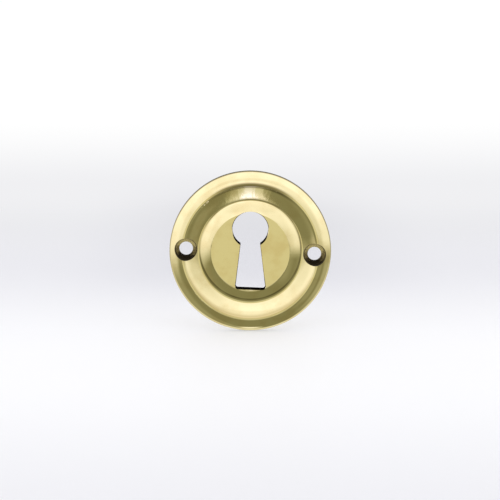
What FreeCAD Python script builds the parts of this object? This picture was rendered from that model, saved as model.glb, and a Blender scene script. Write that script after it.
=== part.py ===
import FreeCAD, Part
import math
import os

# Keyhole escutcheon, in millimetres: a round brass plate, cast and turned in one piece, with a keyhole and
# two countersunk screw holes. It is drawn face up on the bench and stood up against the door at the end.
# Then the back lies in the plane y = 0, the face looks along -Y and the head of the keyhole is up, along +Z.

# Plate
plate_diameter = 45.0
rim_height = 1.3            # straight wall round the edge, up from the door
edge_break = 0.15           # small bevel that takes the sharpness off an edge

# Bead, the raised ring inside the rim
crest_inset = 3.6           # top of the bead, in from the rim
crest_height = 3.4
crest_round = 1.4
flank_radius = 5.8          # convex outer side of the bead

# Dish, the hollow ring between bead and boss
dish_width = 4.7            # from the top of the bead in to the foot of the boss
valley_height = 1.75        # where the two slopes would meet without their fillet
valley_round = 1.2
dish_radius = 11.0          # concave inner side of the bead

# Boss, the raised disc in the middle
shoulder_width = 3.45       # from the foot of the boss in to its flat
boss_height = 3.3
boss_round = 1.4
shoulder_radius = 20.0      # gently convex side of the boss

# Keyhole
keyhole_head_diameter = 10.0
keyhole_head_rise = 6.4     # centre of the head above the centre of the plate
keyhole_end_drop = 10.4     # end of the slot below the centre of the plate
neck_width = 5.45
slot_flare = 6.8            # degrees that each side of the slot opens out downwards
slot_corner = 0.7
keyhole_turn = 2.4          # degrees that the keyhole stands out of square with the line of the screws

# Screw holes, on one level line through the centre
screw_inset = 4.6           # centre of each hole, in from the rim
screw_hole_diameter = 3.8
screw_head_diameter = 6.2
countersink_angle = 90.0
screw_seat_floor = 0.7      # straight hole left below the countersink

CUT_PAST = 1.0              # how far each cutting tool runs past the plate

plate_radius = plate_diameter / 2
crest_radius = plate_radius - crest_inset
valley_radius = crest_radius - dish_width
boss_flat_radius = valley_radius - shoulder_width


def vector(x, y, z=0.0):
    return FreeCAD.Vector(x, y, z)


def meeting_point(centre_a, radius_a, centre_b, radius_b, above):
    """Point at the two given distances from two centres, the one above or below their line."""
    between = centre_b - centre_a
    along = (radius_a ** 2 - radius_b ** 2 + between.Length ** 2) / (2 * between.Length)
    aside = math.sqrt(radius_a ** 2 - along ** 2)
    between.normalize()
    across = vector(-between.y, between.x)
    if (across.y > 0) != above:
        across = across * -1
    return centre_a + between * along + across * aside


def arc(centre, start, end):
    """The shorter arc from start to end about a centre."""
    radius = (start - centre).Length
    middle = (start - centre) + (end - centre)
    return Part.Arc(start, centre + middle.normalize() * radius, end).toShape()


def line(start, end):
    return Part.LineSegment(start, end).toShape()


def towards(start, end, distance):
    """Point at a distance from start on the line through end."""
    return start + (end - start).normalize() * distance


def plate_section():
    """Half section of the plate in the XY plane: X is the radius and Y the height above the door."""
    rim_foot = vector(plate_radius - edge_break, 0)
    rim_low = vector(plate_radius, edge_break)
    rim_top = vector(plate_radius, rim_height)

    crest_centre = vector(crest_radius, crest_height - crest_round)
    flank_centre = meeting_point(crest_centre, flank_radius - crest_round, rim_top, flank_radius, False)
    flank_end = towards(flank_centre, crest_centre, flank_radius)

    valley = vector(valley_radius, valley_height)
    dish_centre = meeting_point(crest_centre, dish_radius + crest_round, valley, dish_radius, True)
    dish_start = towards(crest_centre, dish_centre, crest_round)

    flat_edge = vector(boss_flat_radius, boss_height)
    boss_centre = flat_edge - vector(0, boss_round)
    shoulder_centre = meeting_point(boss_centre, shoulder_radius - boss_round, valley, shoulder_radius, False)
    shoulder_end = towards(shoulder_centre, boss_centre, shoulder_radius)

    fillet_centre = meeting_point(
        dish_centre, dish_radius - valley_round, shoulder_centre, shoulder_radius + valley_round, False,
    )
    dish_end = towards(dish_centre, fillet_centre, dish_radius)
    shoulder_start = towards(shoulder_centre, fillet_centre, shoulder_radius)

    foot = vector(0, 0)
    middle = vector(0, boss_height)
    return Part.Face(Part.Wire([
        line(foot, rim_foot),
        line(rim_foot, rim_low),
        line(rim_low, rim_top),
        arc(flank_centre, rim_top, flank_end),
        arc(crest_centre, flank_end, dish_start),
        arc(dish_centre, dish_start, dish_end),
        arc(fillet_centre, dish_end, shoulder_start),
        arc(shoulder_centre, shoulder_start, shoulder_end),
        arc(boss_centre, shoulder_end, flat_edge),
        line(flat_edge, middle),
        line(middle, foot),
    ]))


def keyhole_outline():
    """Outline of the keyhole, face up: a round head and a slot that widens to a level end."""
    turn = math.radians(keyhole_turn)
    flare = math.radians(slot_flare)
    up = vector(-math.sin(turn), math.cos(turn))
    across = vector(math.cos(turn), math.sin(turn))

    head_radius = keyhole_head_diameter / 2
    head_centre = up * keyhole_head_rise
    neck_drop = math.sqrt(head_radius ** 2 - (neck_width / 2) ** 2)
    neck = head_centre - up * neck_drop
    necks = []
    corners = []
    for side in (-1, 1):
        top = neck + across * (side * neck_width / 2)
        run = across * (side * math.sin(flare)) - up * math.cos(flare)
        necks.append(top)
        corners.append(top + run * ((-keyhole_end_drop - top.y) / run.y))

    edges = [Part.Arc(necks[0], head_centre + up * head_radius, necks[1]).toShape()]
    starts = []
    ends = []
    for top, corner, far_corner in ((necks[0], corners[0], corners[1]), (necks[1], corners[1], corners[0])):
        side_run = (top - corner).normalize()
        end_run = (far_corner - corner).normalize()
        half_angle = side_run.getAngle(end_run) / 2
        reach = slot_corner / math.tan(half_angle)
        bisector = (side_run + end_run).normalize()
        centre = corner + bisector * (slot_corner / math.sin(half_angle))
        starts.append(corner + side_run * reach)
        ends.append(corner + end_run * reach)
        edges.append(line(top, starts[-1]))
        edges.append(arc(centre, starts[-1], ends[-1]))
    edges.append(line(ends[0], ends[1]))
    return Part.Wire(Part.sortEdges(edges)[0])


def keyhole_cutter():
    """Straight cutter through the plate, with a bevel that breaks the edge round the face."""
    outline = keyhole_outline()
    straight = Part.Face(outline).extrude(vector(0, 0, boss_height + 2 * CUT_PAST))
    straight.translate(vector(0, 0, -CUT_PAST))
    wide = outline.makeOffset2D(2 * edge_break)
    outline.translate(vector(0, 0, boss_height - edge_break))
    wide.translate(vector(0, 0, boss_height + edge_break))
    bevel = Part.makeLoft([outline, wide], True, True)
    return straight.fuse(bevel)


def screw_cutter(x):
    """Cutter for one screw hole: clearance hole, countersink and the bore that sinks it below the bead."""
    hole_radius = screw_hole_diameter / 2
    head_radius = screw_head_diameter / 2
    depth = (head_radius - hole_radius) / math.tan(math.radians(countersink_angle / 2))
    seat_top = screw_seat_floor + depth
    top = crest_height + CUT_PAST
    axis_low = vector(0, -CUT_PAST)
    axis_high = vector(0, top)
    hole_low = vector(hole_radius, -CUT_PAST)
    hole_high = vector(hole_radius, screw_seat_floor)
    seat_edge = vector(head_radius, seat_top)
    bore_high = vector(head_radius, top)
    section = Part.Face(Part.makePolygon([
        axis_low, hole_low, hole_high, seat_edge, bore_high, axis_high, axis_low,
    ]))
    cutter = turned(section)
    cutter.translate(vector(x, 0))
    return cutter


def turned(section):
    """Solid turned from a half section, with the axis stood up along Z."""
    solid = section.revolve(vector(0, 0), vector(0, 1), 360)
    solid.rotate(vector(0, 0), vector(1, 0), 90)
    return solid


def escutcheon_plate():
    plate = turned(plate_section())
    cutters = [keyhole_cutter()]
    for side in (-1, 1):
        cutters.append(screw_cutter(side * (plate_radius - screw_inset)))
    plate = plate.cut(cutters)
    plate.rotate(vector(0, 0), vector(1, 0), 90)
    return plate.Solids[0]


os.makedirs("parts", exist_ok=True)
escutcheon_plate().exportStep("parts/escutcheon_plate.step")
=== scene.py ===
import math
from types import SimpleNamespace

import bpy
from mathutils import Matrix, Vector

# Keyhole escutcheon in polished brass, in metres. The plate hangs on its screw holes as in the frame, and its
# face looks along -Y. The set around it (camera, paper, light card and studio light) is turned a little about
# the plate's own axis, because in the photograph the keyhole is upright and the screw holes are out of level.
MM = 0.001

# Camera
SET_TURN = math.radians(2.46)
CAMERA_AIM = Vector((-0.08, 0.0, 0.14)) * MM
CAMERA_DISTANCE = 450 * MM
CAMERA_ELEVATION = math.radians(9.5)
CAMERA_AZIMUTH = math.radians(-0.3)
CAMERA_LENS_MM = 116.0
CAMERA_SENSOR_MM = 36.0

# Floor and backdrop
FLOOR_LEVEL = -22.6 * MM
FLOOR_FRONT = -1600 * MM
FLOOR_SEAM = -110 * MM
FLOOR_BACK = 260 * MM
BACKDROP_RADIUS = 260 * MM
BACKDROP_TOP = 1600 * MM
BACKDROP_STEPS = 32
STAGE_HALF_WIDTH = 1800 * MM

# Light card
CARD_LEVEL = -13 * MM
CARD_NEAR = -13 * MM
CARD_FAR = -46 * MM
CARD_HALF_WIDTH = 5 * MM

# Plate
PLATE_RADIUS = 22.5 * MM
RIM_RADIUS = PLATE_RADIUS - 0.2 * MM
EDGE_LINE_RADIUS = PLATE_RADIUS - 0.35 * MM
CREST_RADIUS = PLATE_RADIUS - 3.75 * MM
FOOT_LINE_RADIUS = PLATE_RADIUS - 8.45 * MM
FOOT_LINE_RISE = 0.55 * MM
KEYHOLE_REACH = 12.5 * MM
SCREW_SPAN = 35.8 * MM
COUNTERSINK_RADIUS = 3.1 * MM

# Grain of the brass
CLOUDS_PER_METRE = 170.0
SPECKS_PER_METRE = 1500.0
LINES_PER_METRE = 2600.0
LINES_PER_RADIAN = 2.5
CLOUD_DEPTH = 0.022 * MM
LINE_DEPTH = 0.0012 * MM

# Colours
WHITE = (1.0, 1.0, 1.0, 1)
BLACK = (0.0, 0.0, 0.0, 1)
BRIGHT_BRASS = (0.915, 0.80, 0.455, 1)
WORN_BRASS = (0.85, 0.71, 0.375, 1)
# Painted shade on the inner side of the crest
SHADED_BRASS = (0.60, 0.48, 0.22, 1)
# Painted shade in the crease at the foot of the boss
FOOT_LINE_SHADE = (0.30, 0.245, 0.11, 1)
# Painted dark reflection on the crest of the bead
CREST_DARK_REFLECTION = (0.27, 0.22, 0.10, 1)
# Painted shade along the edge of the face
EDGE_SHADE_BROWN = (0.20, 0.17, 0.085, 1)
TURNED_DARK = (0.58, 0.46, 0.22, 1)
TURNED_LIGHT = (0.76, 0.63, 0.33, 1)
RIM_LIGHT = (0.13, 0.105, 0.05, 1)
RIM_DARK = (0.07, 0.056, 0.028, 1)
RIM_GLINT = (0.05, 0.04, 0.02, 1)
# Painted shade in the screw holes, from black low down to brown, under dull brass at the top
HOLE_SHADE_BLACK = (0.016, 0.012, 0.006, 1)
HOLE_SHADE_BROWN = (0.19, 0.15, 0.06, 1)
COUNTERSINK_BRASS = (0.60, 0.50, 0.20, 1)
LIP_BROWN = (0.03, 0.022, 0.01, 1)
KEYHOLE_WALL_BROWN = (0.15, 0.12, 0.065, 1)
# Painted shade on the end of the keyhole slot
KEYHOLE_END_SHADE = (0.010, 0.008, 0.005, 1)
PAPER_WHITE = (0.95, 0.95, 0.95, 1)
PANEL_TINT = (1.0, 0.98, 0.82, 1)
CARD_CORE_WHITE = (1.5, 1.54, 2.3, 1)

# Tones of the surroundings that the brass mirrors
CEILING_TONE = 1.25
ROOM_TONE = 0.245
FLOOR_GLOW_TONE = 0.55
PANEL_TONE = 0.715
NEAR_FLOOR_TONE = 1.1
BEHIND_TONE = 0.92

SET = Matrix.Rotation(-SET_TURN, 4, "Y")


def node(tree, kind, values=None, **settings):
    """Adds a shader node, with its settings and the values of its input sockets."""
    made = tree.nodes.new(kind)
    for name, value in settings.items():
        setattr(made, name, value)
    for name, value in (values or {}).items():
        if isinstance(value, bpy.types.NodeSocket):
            tree.links.new(value, made.inputs[name])
        else:
            made.inputs[name].default_value = value
    return made


def math_node(tree, operation, first, second=0.0):
    return node(tree, "ShaderNodeMath", {0: first, 1: second}, operation=operation).outputs[0]


def less(tree, first, second):
    return math_node(tree, "SUBTRACT", first, second)


def size_of(tree, value):
    return math_node(tree, "ABSOLUTE", value)


def total(tree, *values):
    result = values[0]
    for value in values[1:]:
        result = math_node(tree, "ADD", result, value)
    return result


def product(tree, *values):
    result = values[0]
    for value in values[1:]:
        result = math_node(tree, "MULTIPLY", result, value)
    return result


def length_of(tree, first, second):
    """Length of a flat vector, from its two parts."""
    return math_node(tree, "SQRT", total(tree, product(tree, first, first), product(tree, second, second)))


def ease(tree, value, low, high, out_low=0.0, out_high=1.0):
    """Smooth step of a value between two limits."""
    made = node(tree, "ShaderNodeMapRange", {
        "Value": value, "From Min": low, "From Max": high, "To Min": out_low, "To Max": out_high,
    }, interpolation_type="SMOOTHSTEP")
    return made.outputs["Result"]


def fade(tree, value, low, high):
    """One below the first limit, nothing above the second."""
    return ease(tree, value, low, high, 1.0, 0.0)


def between(tree, value, low_out, low_in, high_in, high_out):
    """One between two limits, with a smooth step on each side."""
    return product(tree, ease(tree, value, low_out, low_in), fade(tree, value, high_in, high_out))


def around(tree, value, centre, inner, outer):
    """One round a centre, down to nothing at the outer distance from it."""
    return fade(tree, size_of(tree, less(tree, value, centre)), inner, outer)


def mix_value(tree, share, first, second):
    made = node(tree, "ShaderNodeMix", {"Factor": share, "A": first, "B": second}, data_type="FLOAT")
    return made.outputs["Result"]


def mix_colour(tree, share, first, second, blend="MIX"):
    made = node(tree, "ShaderNodeMix", {0: share, 6: first, 7: second}, data_type="RGBA", blend_type=blend)
    return made.outputs[2]


def grey(tree, tone, blue):
    """Grey of a tone, warmer or cooler by its share of blue."""
    return node(tree, "ShaderNodeCombineColor", {"Red": tone, "Green": tone, "Blue": blue}).outputs[0]


def noise(tree, vector, scale, detail=2.0, roughness=0.5):
    made = node(tree, "ShaderNodeTexNoise", {
        "Vector": vector, "Scale": scale, "Detail": detail, "Roughness": roughness,
    })
    return made.outputs[0]


def object_place(tree):
    """The x, y and z of the shaded point in its own piece."""
    place = tree.nodes.new("ShaderNodeTexCoord")
    return node(tree, "ShaderNodeSeparateXYZ", {0: place.outputs["Object"]}).outputs


def new_material(name):
    """Empty material, with the surface socket of its output."""
    material = bpy.data.materials.new(name)
    material.use_nodes = True
    tree = material.node_tree
    tree.nodes.clear()
    surface = tree.nodes.new("ShaderNodeOutputMaterial").inputs["Surface"]
    return material, tree, surface


def place_on_plate(tree):
    """Where on the plate the shaded point lies, how its surface stands, and the grain of the brass there."""
    place = tree.nodes.new("ShaderNodeTexCoord")
    point = place.outputs["Object"]
    x, y, z = node(tree, "ShaderNodeSeparateXYZ", {0: point}).outputs
    normal_y, normal_z = node(tree, "ShaderNodeSeparateXYZ", {0: place.outputs["Normal"]}).outputs[1:]
    level = size_of(tree, normal_y)
    radius = length_of(tree, x, z)
    round_lines = node(tree, "ShaderNodeCombineXYZ", {
        0: product(tree, radius, LINES_PER_METRE),
        1: product(tree, math_node(tree, "ARCTAN2", z, x), LINES_PER_RADIAN),
    }).outputs[0]
    return SimpleNamespace(
        x=x,
        z=z,
        radius=radius,
        across=math_node(tree, "DIVIDE", x, radius),
        high=math_node(tree, "DIVIDE", z, radius),
        level=level,
        normal_z=normal_z,
        in_front=fade(tree, y, -0.1 * MM, -0.05 * MM),
        beside_face=fade(tree, level, 0.2, 0.6),
        clouds=noise(tree, point, CLOUDS_PER_METRE, 4.0, 0.55),
        speckle=noise(tree, point, SPECKS_PER_METRE),
        lines=noise(tree, round_lines, 1.0, 3.0),
    )


def face_colour(tree, at, worn):
    """Brass of the face, with painted shade at the foot of the boss, along the edge and on the inner side of
    the crest low down, and a painted dark reflection along the crest of the bead.
    """
    colour = mix_colour(tree, worn, BRIGHT_BRASS, WORN_BRASS)

    faint = product(tree, fade(tree, at.across, -0.95, -0.75), ease(tree, at.high, -0.3, 0.0), 0.8)
    # Painted shade in the crease at the foot of the boss, mottled, and fainter high on the left
    from_foot = length_of(tree, at.x, less(tree, at.z, FOOT_LINE_RISE))
    foot_shade = product(
        tree,
        at.in_front,
        around(tree, from_foot, FOOT_LINE_RADIUS, 0.06 * MM, 0.36 * MM),
        ease(tree, at.clouds, 0.3, 0.6, 0.55, 0.9),
        less(tree, 1.0, faint),
    )
    colour = mix_colour(tree, foot_shade, colour, FOOT_LINE_SHADE)

    # Painted dark reflection along the crest of the bead, only at the top of the plate
    crest_reflection = product(
        tree,
        at.in_front,
        around(tree, at.radius, CREST_RADIUS, 0.4 * MM, 1.0 * MM),
        ease(tree, at.high, 0.72, 0.98, 0.0, 0.95),
    )
    colour = mix_colour(tree, crest_reflection, colour, CREST_DARK_REFLECTION)

    # Painted shade on the inner side of the crest, on the lower half of the plate
    shade = product(
        tree,
        at.in_front,
        ease(tree, at.radius, CREST_RADIUS - 1.4 * MM, CREST_RADIUS - 0.3 * MM),
        fade(tree, at.radius, CREST_RADIUS - 0.1 * MM, CREST_RADIUS + 0.1 * MM),
        ease(tree, at.high, -0.75, -0.2, 0.9, 0.0),
    )
    colour = mix_colour(tree, shade, colour, SHADED_BRASS)

    # Painted shade along the edge of the face, strongest at the top
    edge_shade = product(
        tree,
        at.in_front,
        ease(tree, at.radius, EDGE_LINE_RADIUS, EDGE_LINE_RADIUS + 0.2 * MM),
        ease(tree, at.high, -0.6, 0.6, 0.25, 0.9),
    )
    return mix_colour(tree, edge_shade, colour, EDGE_SHADE_BROWN)


def screw_hole_share(tree, at):
    """One in the screw holes and their countersinks, with the distance from the middle of the hole."""
    from_screw = length_of(tree, less(tree, size_of(tree, at.x), SCREW_SPAN / 2), at.z)
    inside = fade(tree, from_screw, COUNTERSINK_RADIUS + 0.04 * MM, COUNTERSINK_RADIUS + 0.1 * MM)
    return product(tree, inside, at.in_front), from_screw


def screw_hole_colour(tree, at, from_screw):
    """Screw hole painted with shade, black low down through brown up to dull brass at its top, in random
    patches, with a dark lip.
    """
    patches = product(tree, less(tree, at.speckle, 0.5), 1.2)
    height = total(tree, math_node(tree, "DIVIDE", at.z, from_screw), patches)
    colour = mix_colour(tree, ease(tree, height, -0.8, -0.2), HOLE_SHADE_BLACK, HOLE_SHADE_BROWN)
    colour = mix_colour(tree, ease(tree, height, -0.1, 0.7), colour, COUNTERSINK_BRASS)
    lip = product(
        tree,
        ease(tree, from_screw, COUNTERSINK_RADIUS - 0.45 * MM, COUNTERSINK_RADIUS - 0.1 * MM, 0.0, 0.7),
        ease(tree, at.level, 0.2, 0.5, 0.4, 1.0),
    )
    return mix_colour(tree, lip, colour, LIP_BROWN)


def brass():
    """Hand-polished brass: bright on the face, dull on the rim and the back, dark in the cuts, with painted
    shade low in the screw holes and on the end of the keyhole slot.
    """
    material, tree, surface = new_material("polished_brass")
    at = place_on_plate(tree)

    worn = ease(tree, at.clouds, 0.42, 0.68)
    colour = face_colour(tree, at, worn)
    roughness = total(tree, 0.035, product(tree, worn, 0.03), product(tree, at.lines, 0.02))

    # Back, duller and browner, as it came off the lathe
    colour = mix_colour(tree, at.in_front, mix_colour(tree, at.lines, TURNED_DARK, TURNED_LIGHT), colour)
    roughness = mix_value(tree, at.in_front, 0.36, roughness)

    # Rim, left dull by the polishing wheel
    rim = product(tree, math_node(tree, "GREATER_THAN", at.radius, RIM_RADIUS), at.beside_face)
    colour = mix_colour(tree, rim, colour, mix_colour(tree, at.speckle, RIM_LIGHT, RIM_DARK))
    roughness = mix_value(tree, rim, roughness, 0.38)
    glint = mix_colour(tree, rim, WHITE, RIM_GLINT)

    # Screw holes, with painted shade low down
    in_screw, from_screw = screw_hole_share(tree, at)
    shaded_hole_colour = screw_hole_colour(tree, at, from_screw)
    colour = mix_colour(tree, in_screw, colour, shaded_hole_colour)
    roughness = mix_value(tree, in_screw, roughness, 0.45)
    glint = mix_colour(tree, in_screw, glint, shaded_hole_colour)
    metallic = less(tree, 1.0, product(tree, in_screw, 0.8))

    # Keyhole walls dull brown, painted black as shade on the end of the slot and on its bevel
    at_end = ease(tree, at.normal_z, 0.1, 0.4)
    end_bevel = product(tree, fade(tree, at.level, 0.74, 0.84), at_end)
    in_keyhole = product(
        tree,
        math_node(tree, "LESS_THAN", at.radius, KEYHOLE_REACH),
        math_node(tree, "MAXIMUM", at.beside_face, end_bevel),
    )
    walls = mix_colour(tree, at_end, KEYHOLE_WALL_BROWN, KEYHOLE_END_SHADE)
    colour = mix_colour(tree, in_keyhole, colour, walls)
    roughness = mix_value(tree, in_keyhole, roughness, 0.5)
    glint = mix_colour(tree, in_keyhole, glint, BLACK)

    relief = total(tree, product(tree, at.clouds, CLOUD_DEPTH), product(tree, at.lines, LINE_DEPTH))
    bump = node(tree, "ShaderNodeBump", {"Strength": 1.0, "Distance": 1.0, "Height": relief})
    shader = node(tree, "ShaderNodeBsdfPrincipled", {
        "Base Color": colour,
        "Metallic": metallic,
        "Roughness": roughness,
        "Specular Tint": glint,
        "Normal": bump.outputs[0],
    })
    tree.links.new(shader.outputs[0], surface)
    return material


def direction_seen(tree):
    """Azimuth and elevation of the direction looked in, in degrees, and its part towards the back."""
    coordinates = tree.nodes.new("ShaderNodeTexCoord")
    turned = node(tree, "ShaderNodeVectorRotate", {
        "Vector": coordinates.outputs["Generated"], "Angle": -SET_TURN, "Axis": (0, -1, 0),
    }, rotation_type="AXIS_ANGLE")
    side, back, up = node(tree, "ShaderNodeSeparateXYZ", {0: turned.outputs[0]}).outputs
    degrees = 180 / math.pi
    elevation = product(tree, math_node(tree, "ARCSINE", up), degrees)
    facing = product(tree, back, -1.0)
    azimuth = product(tree, math_node(tree, "ARCTAN2", side, facing), degrees)
    return azimuth, elevation, back


def ceiling_tone(tree, azimuth, elevation, aside):
    """Ceiling and front light, weaker low down and on both sides of the middle."""
    below_top = fade(tree, elevation, 30.0, 44.0)
    weaker_right = product(tree, around(tree, azimuth, 32.0, 8.0, 26.0), below_top, 0.20)
    weaker_left = product(tree, around(tree, azimuth, -33.0, 6.0, 20.0), below_top, 0.13)
    band_height = between(tree, elevation, 32.0, 38.0, 46.0, 52.0)
    band = product(tree, fade(tree, aside, 28.0, 46.0), band_height, 0.16)
    low = product(tree, fade(tree, elevation, 2.0, 28.0), ease(tree, azimuth, -20.0, 50.0, 0.15, 0.24))
    tone = CEILING_TONE
    for dim in (weaker_right, weaker_left, band, low):
        tone = less(tree, tone, dim)
    return tone


def room_tone(tree, azimuth, elevation):
    """Dark room low in front, lighter towards the sides."""
    lower_right = between(tree, elevation, -46.0, -34.0, -20.0, -8.0)
    far_lower_right = between(tree, elevation, -66.0, -36.0, -20.0, -8.0)
    right = product(tree, around(tree, azimuth, 38.0, 6.0, 17.0), lower_right, 0.07)
    far_right = product(tree, ease(tree, azimuth, 54.0, 74.0), far_lower_right, 0.18)
    far_left = product(tree, ease(tree, azimuth, -38.0, -66.0), 0.09)
    return total(tree, ROOM_TONE, right, far_right, far_left)


def studio_world():
    """Soft light from above and in front, a dark room below it, and white to be seen past the floor."""
    world = bpy.data.worlds.new("studio")
    world.use_nodes = True
    tree = world.node_tree
    tree.nodes.clear()
    azimuth, elevation, back = direction_seen(tree)
    aside = size_of(tree, azimuth)
    middle = fade(tree, aside, 6.0, 15.0)

    # The room ends at a soft horizon, low in the middle and on the far left
    horizon_low = mix_value(tree, ease(tree, azimuth, -36.0, -68.0), -18.0, -34.0)
    horizon_low = mix_value(tree, middle, horizon_low, -38.0)
    horizon_high = mix_value(tree, ease(tree, aside, 14.0, 32.0), 7.0, 1.0)
    horizon_high = mix_value(tree, middle, horizon_high, -29.0)
    horizon = ease(tree, elevation, horizon_low, horizon_high)
    room = room_tone(tree, azimuth, elevation)
    ceiling = ceiling_tone(tree, azimuth, elevation, aside)
    tone = mix_value(tree, horizon, room, ceiling)

    # What stands round the camera, shown by the flat of the boss
    floor_glow = product(tree, middle, between(tree, elevation, -38.0, -33.0, -12.0, -6.0))
    tone = mix_value(tree, floor_glow, tone, FLOOR_GLOW_TONE)
    panel = product(tree, fade(tree, aside, 10.0, 18.0), between(tree, elevation, -17.0, -12.0, 2.0, 9.0))
    tone = mix_value(tree, panel, tone, PANEL_TONE)

    # The white floor close to the plate, and the backdrop behind it
    tone = mix_value(tree, fade(tree, elevation, -88.0, -80.0), tone, NEAR_FLOOR_TONE)
    tone = mix_value(tree, ease(tree, back, 0.05, 0.25), tone, BEHIND_TONE)

    colour = grey(tree, tone, math_node(tree, "POWER", tone, 1.35))
    colour = mix_colour(tree, panel, colour, PANEL_TINT, "MULTIPLY")

    # The camera sees a cool white past the edge of the floor
    seen = ease(tree, elevation, 0.0, 16.0, 0.86, 1.0)
    plain = grey(tree, seen, math_node(tree, "POWER", seen, 0.85))
    path = tree.nodes.new("ShaderNodeLightPath")
    colour = mix_colour(tree, path.outputs["Is Camera Ray"], colour, plain)
    background = node(tree, "ShaderNodeBackground", {"Color": colour, "Strength": 1.0})
    output = tree.nodes.new("ShaderNodeOutputWorld")
    tree.links.new(background.outputs[0], output.inputs["Surface"])
    bpy.context.scene.world = world


def add_to_set(name, mesh, material):
    """Object of the set from its mesh, turned with the set."""
    mesh.materials.append(material)
    made = bpy.data.objects.new(name, mesh)
    bpy.context.scene.collection.objects.link(made)
    made.matrix_world = SET
    return made


def strip_of_stage(name, profile, material):
    """Surface across the whole stage along a profile of (distance along the run, y, z)."""
    points = []
    runs = []
    for run, y, z in profile:
        for side in (-1, 1):
            points.append((side * STAGE_HALF_WIDTH, y, z))
            runs.append(run)
    faces = [(2 * i, 2 * i + 1, 2 * i + 3, 2 * i + 2) for i in range(len(profile) - 1)]
    mesh = bpy.data.meshes.new(name)
    mesh.from_pydata(points, [], faces)
    for polygon in mesh.polygons:
        polygon.use_smooth = True
    mesh.attributes.new("run", "FLOAT", "POINT").data.foreach_set("value", runs)
    return add_to_set(name, mesh, material)


def white_paper():
    """Satin white paper of floor and backdrop, with painted falloff of the light, greyer far in front and in
    a band behind the plate, and a painted shadow of the plate.
    """
    material, tree, surface = new_material("white_paper")
    run = node(tree, "ShaderNodeAttribute", attribute_name="run").outputs["Fac"]
    x = object_place(tree)[0]
    # Painted falloff of the light: greyer far in front, a grey band round the plate, lighter up the backdrop
    tone = ease(tree, run, -190 * MM, -55 * MM, 0.85, 0.982)
    tone = less(tree, tone, ease(tree, run, -35 * MM, 110 * MM, 0.0, 0.155))
    tone = total(tree, tone, ease(tree, run, 170 * MM, 290 * MM, 0.0, 0.045))
    tone = total(tree, tone, ease(tree, run, 300 * MM, 395 * MM, 0.0, 0.145))
    # Painted shadow of the plate on the paper behind it
    behind = product(
        tree,
        around(tree, x, 0.0, 5 * MM, 75 * MM),
        between(tree, run, 20 * MM, 90 * MM, 240 * MM, 330 * MM),
        0.085,
    )
    tone = less(tree, tone, behind)
    cool = product(tree, tone, less(tree, 1.17, product(tree, tone, 0.17)))
    colour = grey(tree, tone, cool)
    shader = node(tree, "ShaderNodeBsdfPrincipled", {
        "Base Color": mix_colour(tree, 1.0, colour, PAPER_WHITE, "MULTIPLY"),
        "Roughness": 0.5,
        "Specular IOR Level": 0.2,
    })

    # Plain white for the camera, less of it on the floor round the plate, which keeps its shadow
    path = tree.nodes.new("ShaderNodeLightPath")
    seen = math_node(tree, "MAXIMUM", path.outputs["Is Camera Ray"], path.outputs["Is Glossy Ray"])
    share = product(tree, seen, ease(tree, run, 60 * MM, 240 * MM, 0.5, 1.0))
    glow = node(tree, "ShaderNodeEmission", {"Color": colour, "Strength": 1.0})
    mixed = node(tree, "ShaderNodeMixShader", {0: share, 1: shader.outputs[0], 2: glow.outputs[0]})
    tree.links.new(mixed.outputs[0], surface)
    return material


def stage():
    """White floor that bends up into the backdrop behind the plate."""
    paper = white_paper()
    rows = [(y, y, FLOOR_LEVEL) for y in (FLOOR_FRONT, FLOOR_SEAM, FLOOR_BACK)]
    floor = strip_of_stage("floor", rows, paper)
    floor.visible_glossy = False
    bend = []
    for step in range(BACKDROP_STEPS + 1):
        angle = math.pi / 2 * step / BACKDROP_STEPS
        bend.append((
            FLOOR_BACK + BACKDROP_RADIUS * angle,
            FLOOR_BACK + BACKDROP_RADIUS * math.sin(angle),
            FLOOR_LEVEL + BACKDROP_RADIUS * (1 - math.cos(angle)),
        ))
    bend_end, wall_y, _ = bend[-1]
    bend.append((bend_end + BACKDROP_TOP, wall_y, BACKDROP_TOP))
    strip_of_stage("backdrop", bend, paper)


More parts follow.
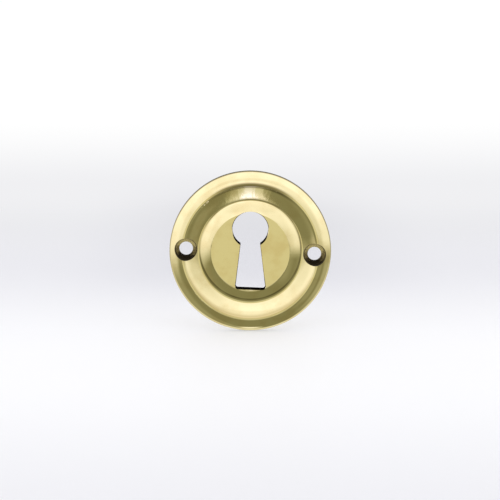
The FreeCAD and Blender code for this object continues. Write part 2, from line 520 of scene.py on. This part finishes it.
def card_white():
    """Shine of the light card, dimmer at its sides, with clear edges and a white core."""
    material, tree, surface = new_material("light_card")
    x, y = object_place(tree)[:2]
    tone = ease(tree, y, -40 * MM, -16 * MM, 1.02, 0.68)
    tone = product(tree, tone, ease(tree, x, 0.6 * MM, 3.2 * MM, 1.0, 0.42))
    tone = mix_value(tree, ease(tree, x, -1.40 * MM, -1.25 * MM), 0.38, tone)
    core = product(
        tree,
        around(tree, x, 0.35 * MM, 0.3 * MM, 0.9 * MM),
        ease(tree, y, -42 * MM, -16 * MM, 1.0, 0.25),
    )
    warm = grey(tree, tone, math_node(tree, "POWER", tone, 1.45))
    shine = node(tree, "ShaderNodeEmission", {"Color": mix_colour(tree, core, warm, CARD_CORE_WHITE)})
    clear = tree.nodes.new("ShaderNodeBsdfTransparent")
    solid = product(
        tree,
        ease(tree, y, CARD_FAR, CARD_FAR + 7 * MM),
        between(tree, x, -2.3 * MM, -1.8 * MM, 2.6 * MM, 3.6 * MM),
        less(tree, 1.0, tree.nodes.new("ShaderNodeNewGeometry").outputs["Backfacing"]),
    )
    mixed = node(tree, "ShaderNodeMixShader", {0: solid, 1: clear.outputs[0], 2: shine.outputs[0]})
    tree.links.new(mixed.outputs[0], surface)
    return material


def light_card():
    """Narrow white card low in front of the plate, which only shines in the dish at the top of the plate."""
    corners = [
        (-CARD_HALF_WIDTH, CARD_FAR, CARD_LEVEL),
        (CARD_HALF_WIDTH, CARD_FAR, CARD_LEVEL),
        (CARD_HALF_WIDTH, CARD_NEAR, CARD_LEVEL),
        (-CARD_HALF_WIDTH, CARD_NEAR, CARD_LEVEL),
    ]
    mesh = bpy.data.meshes.new("light_card")
    mesh.from_pydata(corners, [], [(0, 1, 2, 3)])
    card = add_to_set("light_card", mesh, card_white())
    card.visible_camera = False
    card.visible_diffuse = False
    card.visible_transmission = False
    card.visible_shadow = False


def camera():
    """Long lens a little above the plate and straight in front of it."""
    data = bpy.data.cameras.new("camera")
    data.lens = CAMERA_LENS_MM
    data.sensor_width = CAMERA_SENSOR_MM
    data.clip_start = 1 * MM
    made = bpy.data.objects.new("camera", data)
    bpy.context.scene.collection.objects.link(made)
    back = Vector((
        math.sin(CAMERA_AZIMUTH) * math.cos(CAMERA_ELEVATION),
        -math.cos(CAMERA_AZIMUTH) * math.cos(CAMERA_ELEVATION),
        math.sin(CAMERA_ELEVATION),
    ))
    aim = (-back).to_track_quat("-Z", "Y").to_matrix().to_4x4()
    made.matrix_world = SET @ Matrix.Translation(CAMERA_AIM + back * CAMERA_DISTANCE) @ aim
    bpy.context.scene.camera = made


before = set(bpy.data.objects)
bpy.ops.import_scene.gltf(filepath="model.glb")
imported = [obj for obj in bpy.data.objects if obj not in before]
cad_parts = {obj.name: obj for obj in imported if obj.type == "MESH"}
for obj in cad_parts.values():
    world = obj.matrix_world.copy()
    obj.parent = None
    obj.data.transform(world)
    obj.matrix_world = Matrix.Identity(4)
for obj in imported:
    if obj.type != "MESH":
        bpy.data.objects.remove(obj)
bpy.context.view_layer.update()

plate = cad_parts["escutcheon_plate"]
finish = brass()
for slot in plate.material_slots:
    slot.material = finish

studio_world()
stage()
light_card()
camera()
bpy.context.scene.view_settings.view_transform = "Standard"
